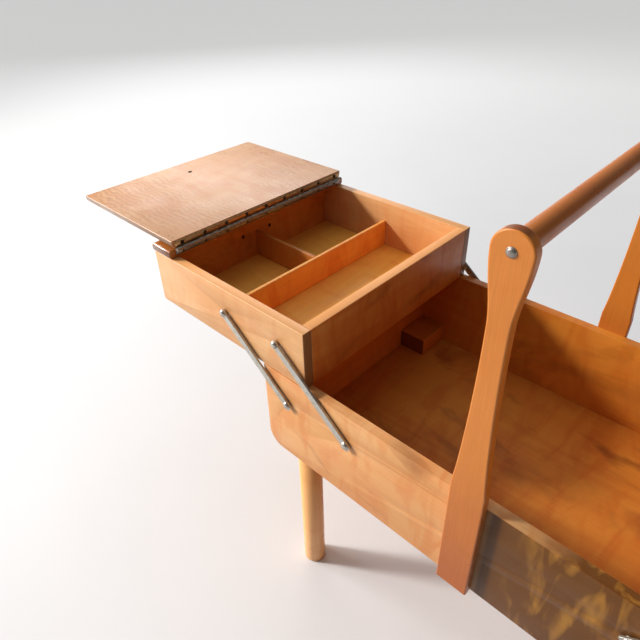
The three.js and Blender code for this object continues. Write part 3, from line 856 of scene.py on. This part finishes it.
# up: which way the strip runs from the pin. first: its first knuckle. far: the strip's far edge.
Leaf = namedtuple("Leaf", "up first far metal screw_radius screw_at")
LEAVES = {
    "batten": Leaf(-1, 0, 5.8 * MM, KNUCKLE_STEEL, 1.2 * MM, 3.9 * MM),
    "lid": Leaf(1, 1, 8.2 * MM, LEAF_BRONZE, 2.1 * MM, 5.3 * MM),
}


def knuckle(length):
    """A short tube with rounded rims, from Z = 0 up."""
    rim = KNUCKLE_RADIUS - KNUCKLE_RIM
    profile = [(KNUCKLE_BORE, 0.0), (rim, 0.0), (KNUCKLE_RADIUS, KNUCKLE_RIM),
               (KNUCKLE_RADIUS, length - KNUCKLE_RIM), (rim, length), (KNUCKLE_BORE, length)]
    return lathe(profile, 24, closed=True)


def add_hinge_leaf(label, side, kind, body):
    """A strip with a tongue to every second knuckle, those knuckles, and the screws."""
    node = f"{label}_hinge_leaf_{kind}"
    leaf = LEAVES[kind]
    low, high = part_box(node)
    axis = Vector(JOINTS[f"{label}_lid_hinge"]["pos_m"])
    back = high.x if side > 0 else low.x
    front = back - side * LEAF_THICKNESS
    x = sorted((back, front))
    strip_z = sorted((axis.z + leaf.up * LEAF_NEAR, axis.z + leaf.up * leaf.far))
    tongue_z = sorted((axis.z + leaf.up * LEAF_ROOT, axis.z + leaf.up * (LEAF_NEAR + LEAF_LAP)))
    pitch = (high.y - low.y) / KNUCKLES
    strip = [slab(x, (low.y, high.y), strip_z)]
    barrel = []
    for i in range(leaf.first, KNUCKLES, 2):
        y = low.y + i * pitch
        tube = knuckle(pitch - 2 * KNUCKLE_GAP)
        barrel.append(placed(tube, (axis.x, y + KNUCKLE_GAP, axis.z), (0, 1, 0)))
        strip.append(slab(x, (y + LEAF_LAP, y + pitch - LEAF_LAP), tongue_z))
    piece(f"{node}_strip", joined(strip), leaf.metal, body, [node])
    piece(f"{node}_knuckles", joined(barrel), KNUCKLE_STEEL, body)
    heads = []
    spacing = (high.y - low.y - 2 * SCREW_INSET) / (HINGE_SCREWS - 1)
    for i in range(HINGE_SCREWS):
        at = (front, low.y + SCREW_INSET + i * spacing, axis.z + leaf.up * leaf.screw_at)
        heads.append(placed(slotted_head(leaf.screw_radius, SCREW_RISE, 0.7 * i), at, (-side, 0, 0)))
    piece(f"{node}_screws", joined(heads), DARK_METAL, body)


def add_hinge_pin(label):
    node = f"{label}_hinge_pin"
    low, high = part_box(node)
    half = (high.y - low.y) / 2
    tip = 0.8 * PIN_RADIUS
    shoulder = half - 0.2 * MM
    profile = [(0.0, -half), (tip, -half), (PIN_RADIUS, -shoulder), (PIN_RADIUS, shoulder), (tip, half),
               (0.0, half)]
    bm = placed(lathe(profile, 20), (low + high) / 2, (0, 1, 0))
    piece(f"{node}_round", bm, STEEL, f"{label}_tray", [node])


# ------------------------------------------------------------------------------ lids
LID_PINS = ((6.5 * MM, 6.6 * MM), (13.5 * MM, 6.2 * MM), (27.5 * MM, 4.2 * MM))
LID_PIN_RADIUS = 0.8 * MM
END_SCREW_RADIUS = 2.2 * MM
END_SCREW_OFFSET = 20 * MM  # from the middle of the outer end
END_SCREW_DROP = 23 * MM  # from the top of the outer end
END_SCREW_TURN = 0.8
KNOB_SCREW_RADIUS = 2.6 * MM
LARGE_SCREW_RISE = 0.5 * MM


def add_knob(label):
    """A waisted knob under the open lid, and its screw's head on the lid's other face."""
    node = f"{label}_lid_knob"
    low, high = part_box(node)
    centre = (low + high) / 2
    radius = (high.x - low.x) / 2
    height = high.z - low.z
    # shares of the knob's radius and height, from its foot to its crown
    curves = [
        ((0.62, 0.0), (0.5, 0.12), (0.42, 0.3), (0.62, 0.42), 10),
        ((0.62, 0.42), (0.95, 0.5), (1.02, 0.62), (1.0, 0.72), 10),
        ((1.0, 0.72), (0.96, 0.93), (0.5, 1.0), (0.0, 1.0), 12),
    ]
    outline = [(0.0, 0.0), (0.62, 0.0)]
    for curve in curves:
        outline += bezier(*curve)
    profile = [(share * radius, rise * height) for share, rise in outline]
    bm = placed(lathe(profile, 56), (centre.x, centre.y, high.z), (0, 0, -1))
    piece(f"{node}_turned", bm, MATERIALS["batten"], f"{label}_lid", [node])
    lid_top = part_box(f"{label}_lid")[1].z
    head = slotted_head(KNOB_SCREW_RADIUS, LARGE_SCREW_RISE, 0.5)
    head = placed(head, (centre.x, centre.y, lid_top))
    piece(f"{label}_knob_screw", head, DARK_METAL, f"{label}_lid")


def add_lid_pins(label, side):
    """Small sunk pins by the lid's front hinge corner. LID_PINS: from the hinge and front edges."""
    low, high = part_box(f"{label}_lid")
    hinge_edge = low.x if side > 0 else high.x
    r = LID_PIN_RADIUS
    pins = []
    for from_hinge, from_front in LID_PINS:
        head = lathe([(0.0, -0.1 * MM), (r, -0.1 * MM), (r, 0.05 * MM), (0.0, 0.09 * MM)], 16)
        pins.append(placed(head, (hinge_edge + side * from_hinge, low.y + from_front, high.z)))
    piece(f"{label}_lid_pins", joined(pins), DARK_METAL, f"{label}_lid")


def add_end_screws(label, side):
    """Two screws through the tray's outer end, seen from inside the tray."""
    low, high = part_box(f"{label}_tray_outer_end")
    inner = low.x if side > 0 else high.x
    heads = []
    for way in (-1, 1):
        head = slotted_head(END_SCREW_RADIUS, LARGE_SCREW_RISE, way * END_SCREW_TURN)
        at = (inner, way * END_SCREW_OFFSET, high.z - END_SCREW_DROP)
        heads.append(placed(head, at, (-side, 0, 0)))
    piece(f"{label}_end_screws", joined(heads), DARK_METAL, f"{label}_tray")


def add_lid_hardware():
    for label, side in SIDES:
        add_hinge_leaf(label, side, "batten", f"{label}_tray")
        add_hinge_leaf(label, side, "lid", f"{label}_lid")
        add_hinge_pin(label)
        add_knob(label)
        add_lid_pins(label, side)
        add_end_screws(label, side)


add_camera()
add_world()
add_light()
add_floor()
dress_boards()
for side_name, _ in SIDES:
    for face_name, _ in FACES:
        add_leg(f"leg_{side_name}_{face_name}")
add_handle()
add_arms()
add_lid_hardware()
